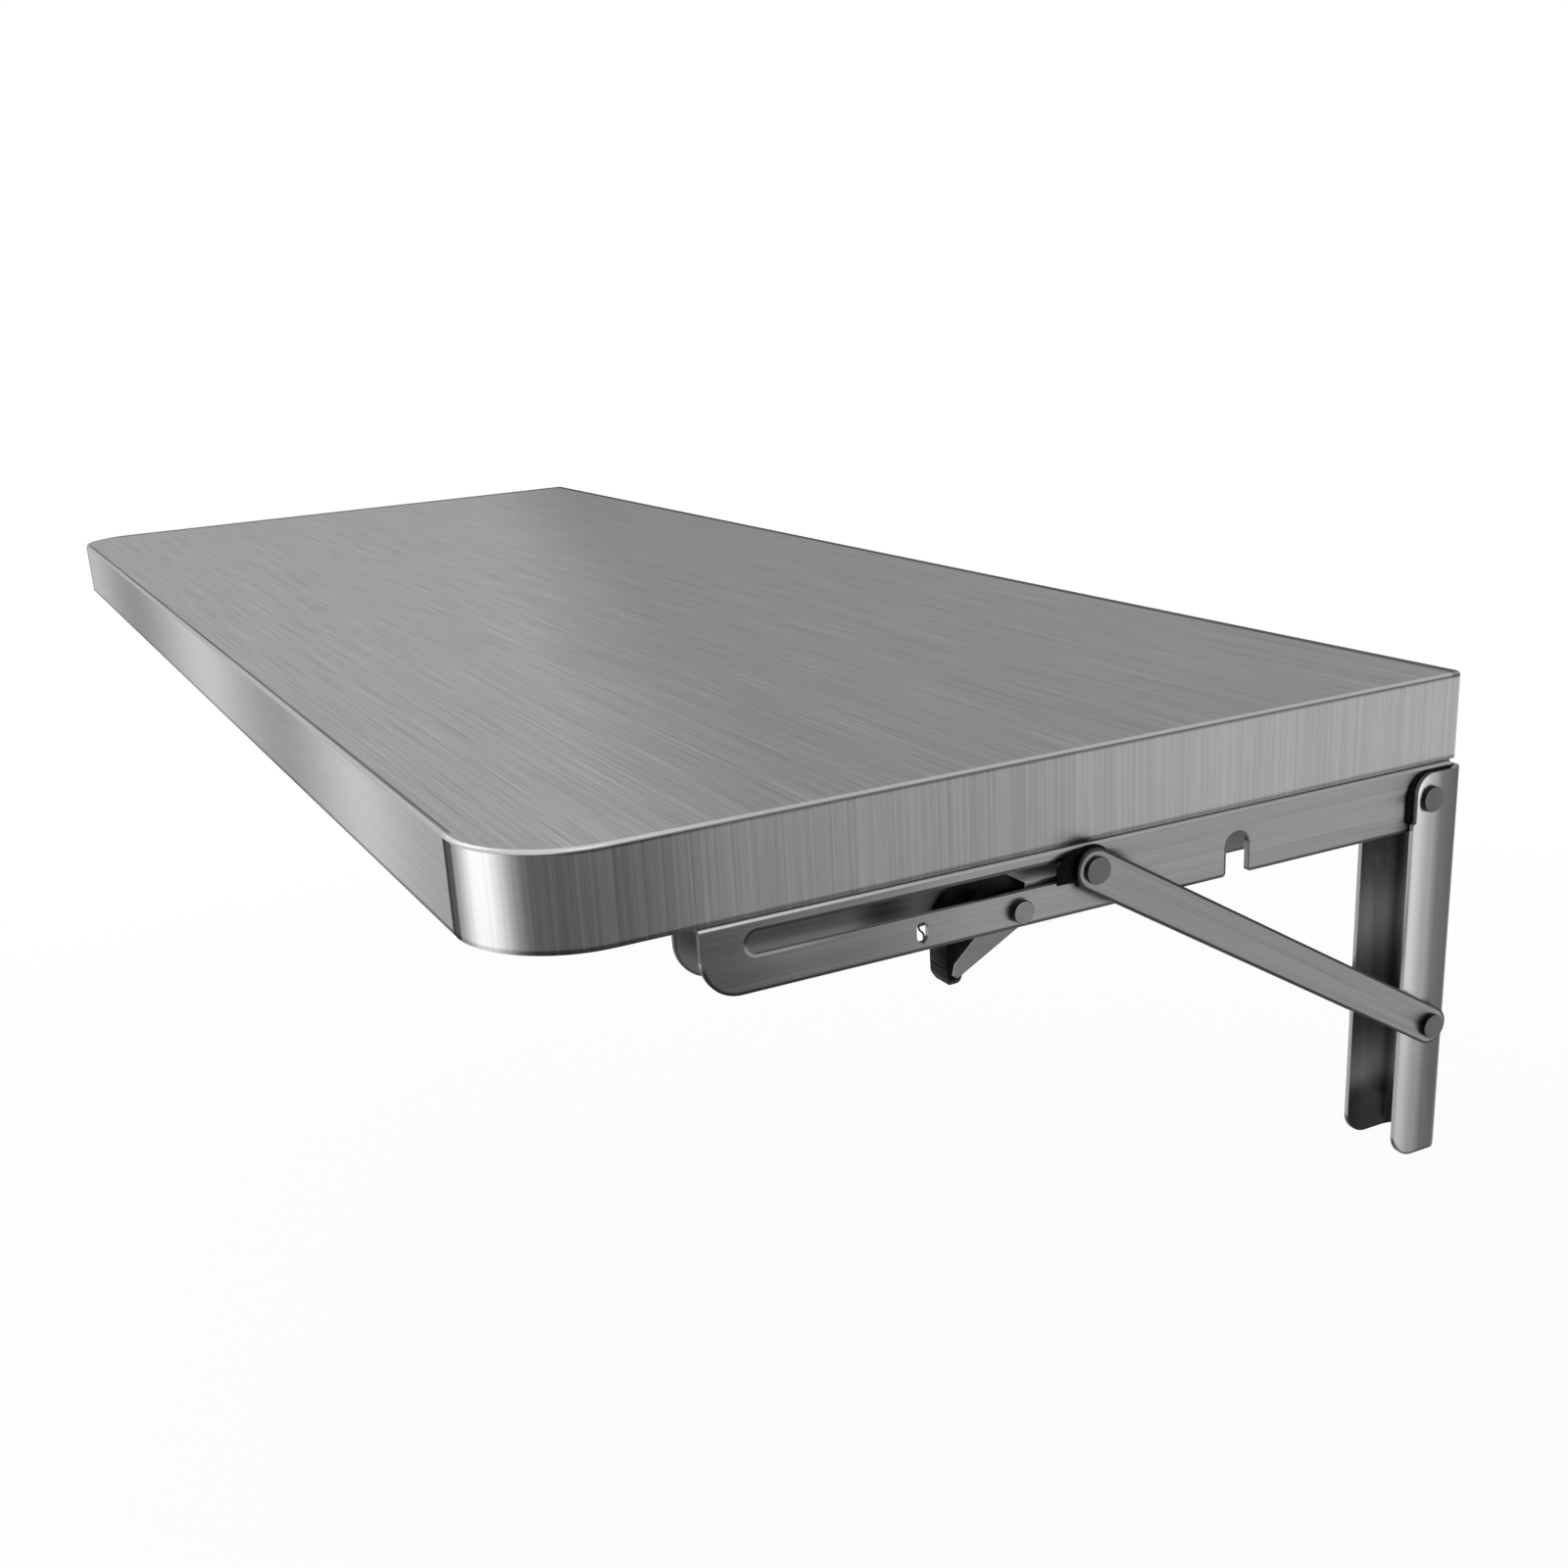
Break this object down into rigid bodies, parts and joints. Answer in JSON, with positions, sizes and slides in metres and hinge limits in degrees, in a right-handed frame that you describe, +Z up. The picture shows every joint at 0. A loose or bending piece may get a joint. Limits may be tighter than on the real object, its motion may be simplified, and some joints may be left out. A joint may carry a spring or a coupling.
{
  "type": "wall-mounted folding table",
  "caption": "Wall-hung drop-leaf table: a rounded steel-clad tabletop on folding brackets with braces that slide in slotted arms and spring-loaded release levers.",
  "frame": {"origin": "centre of the rectangle of four wall screw holes, on the wall plane", "axes": "+X along the wall and along the tabletop, +Y into the wall, +Z up; the table is stored open"},
  "size_m": [1.0148, 0.403, 0.2053],
  "materials": {
    "sheet_steel": "brushed along the length",
    "panel_steel": "plain mill finish",
    "core_wood": "raw board",
    "insert_brass": "turned",
    "bracket_steel": "brushed along the length",
    "brace_steel": "brushed along the length",
    "lever_steel": "brushed",
    "pin_steel": "turned, satin",
    "screw_steel": "satin",
    "spring_steel": "bright wire",
    "black_plastic": "satin moulded"
  },
  "bodies": {
    "root": {"wall_plate_right": "bracket_steel", "friction_liners_right": "black_plastic", "pivot_pin_right": "pin_steel", "lower_pin_right": "pin_steel", "wall_plate_left": "bracket_steel", "friction_liners_left": "black_plastic", "pivot_pin_left": "pin_steel", "lower_pin_left": "pin_steel"},
    "top": {"top_sheet": "sheet_steel", "front_fascia": "sheet_steel", "side_band_right": "sheet_steel", "side_band_left": "sheet_steel", "back_band": "sheet_steel", "core_board": "core_wood", "underside_panel": "panel_steel", "screw_inserts": "insert_brass", "arm_right": "bracket_steel", "arm_screws_right": "screw_steel", "lever_pin_right": "pin_steel", "lever_spacers_right": "black_plastic", "lever_spring_right": "spring_steel", "arm_left": "bracket_steel", "arm_screws_left": "screw_steel", "lever_pin_left": "pin_steel", "lever_spacers_left": "black_plastic", "lever_spring_left": "spring_steel"},
    "brace_right": {"brace_outer_right": "brace_steel", "brace_inner_right": "brace_steel", "brace_rivets_right": "pin_steel"},
    "slider_right": {"slider_shaft_right": "pin_steel", "slider_bushes_right": "black_plastic"},
    "lever_right": {"release_lever_right": "lever_steel", "lever_grip_right": "black_plastic"},
    "brace_left": {"brace_outer_left": "brace_steel", "brace_inner_left": "brace_steel", "brace_rivets_left": "pin_steel"},
    "slider_left": {"slider_shaft_left": "pin_steel", "slider_bushes_left": "black_plastic"},
    "lever_left": {"release_lever_left": "lever_steel", "lever_grip_left": "black_plastic"}
  },
  "joints": [
    {"name": "fold", "type": "hinge", "parent": "root", "child": "top", "pos_m": [0, -0.0175, 0.082], "axis": [1, 0, 0], "range_deg": [0, 90]},
    {"name": "brace_swing_right", "type": "hinge", "parent": "root", "child": "brace_right", "pos_m": [0.4885, -0.0124, -0.0156], "axis": [1, 0, 0], "range_deg": [0, 119]},
    {"name": "slide_right", "type": "slide", "parent": "top", "child": "slider_right", "axis": [0, -1, 0], "range_m": [0, 0.1315]},
    {"name": "lever_right", "type": "hinge", "parent": "top", "child": "lever_right", "pos_m": [0.4885, -0.21, 0.0752], "axis": [1, 0, 0], "range_deg": [-28, 0], "stiffness_Nm_per_rad": 0.05, "springref_deg": 20.05, "deforming": ["lever_spring_right"]},
    {"name": "brace_swing_left", "type": "hinge", "parent": "root", "child": "brace_left", "pos_m": [-0.4885, -0.0124, -0.0156], "axis": [1, 0, 0], "range_deg": [0, 119]},
    {"name": "slide_left", "type": "slide", "parent": "top", "child": "slider_left", "axis": [0, -1, 0], "range_m": [0, 0.1315]},
    {"name": "lever_left", "type": "hinge", "parent": "top", "child": "lever_left", "pos_m": [-0.4885, -0.21, 0.0752], "axis": [1, 0, 0], "range_deg": [-28, 0], "stiffness_Nm_per_rad": 0.05, "springref_deg": 20.05, "deforming": ["lever_spring_left"]}
  ],
  "couplings": [
    {"joint": "brace_swing_right", "follows": "fold", "ratio": 1.3149},
    {"joint": "slide_right", "follows": "fold", "m_per_rad": 0.083274},
    {"joint": "brace_swing_left", "follows": "fold", "ratio": 1.3149},
    {"joint": "slide_left", "follows": "fold", "m_per_rad": 0.083274}
  ]
}
